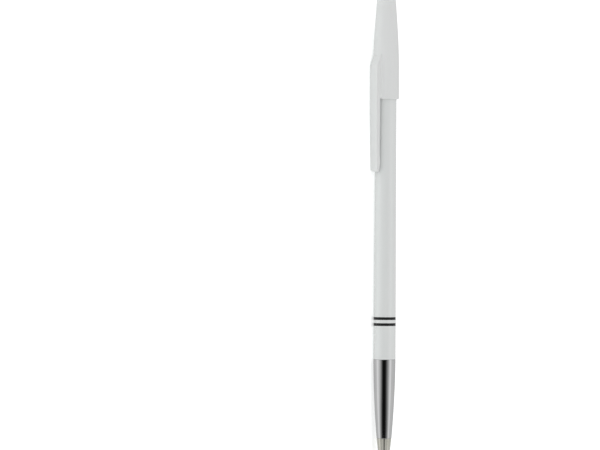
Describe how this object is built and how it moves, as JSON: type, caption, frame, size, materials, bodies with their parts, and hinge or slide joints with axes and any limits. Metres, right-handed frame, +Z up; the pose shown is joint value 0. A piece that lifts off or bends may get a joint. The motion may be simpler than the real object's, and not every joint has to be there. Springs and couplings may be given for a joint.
{
  "type": "ballpoint pen",
  "caption": "White stick ballpoint pen with a chrome nose cone, black printed rings and a long clip cap posted on its rear.",
  "frame": {"origin": "on the desk, at the middle of the footprint of the lying pen", "axes": "+X along the pen towards its writing tip, +Z up; the pen lies on its cap skirt, the clip's edge and the barrel's front, with the clip low on the -Y side"},
  "size_m": [0.1742, 0.0102, 0.0088],
  "materials": {
    "barrel_plastic": "white polystyrene, moulded, satin gloss, with two thin black printed rings",
    "cap_plastic": "white polypropylene, moulded, satin gloss",
    "plug_plastic": "white polypropylene, moulded, matt",
    "nose_chrome": "turned brass, chrome plated, polished",
    "holder_metal": "nickel silver, turned",
    "socket_metal": "nickel silver, turned and crimped",
    "ball_carbide": "tungsten carbide, ground and polished",
    "tube_plastic": "natural polypropylene, translucent",
    "ink": "thick black writing ink"
  },
  "bodies": {
    "pen": {"barrel": "barrel_plastic", "nose_cone": "nose_chrome", "point_holder": "holder_metal", "ball_socket": "socket_metal", "refill_tube": "tube_plastic", "ink_column": "ink", "end_plug": "plug_plastic"},
    "cap": {"cap": "cap_plastic"},
    "ball": {"ball": "ball_carbide"}
  },
  "joints": [
    {"name": "cap_slide", "type": "slide", "parent": "pen", "child": "cap", "axis": [-1, 0, 0.0078], "range_m": [0, 0.042]},
    {"name": "ball_roll", "type": "hinge", "parent": "pen", "child": "ball", "pos_m": [0.0866, 0.00068, 0.00342], "axis": [0, 1, 0], "continuous": true}
  ]
}
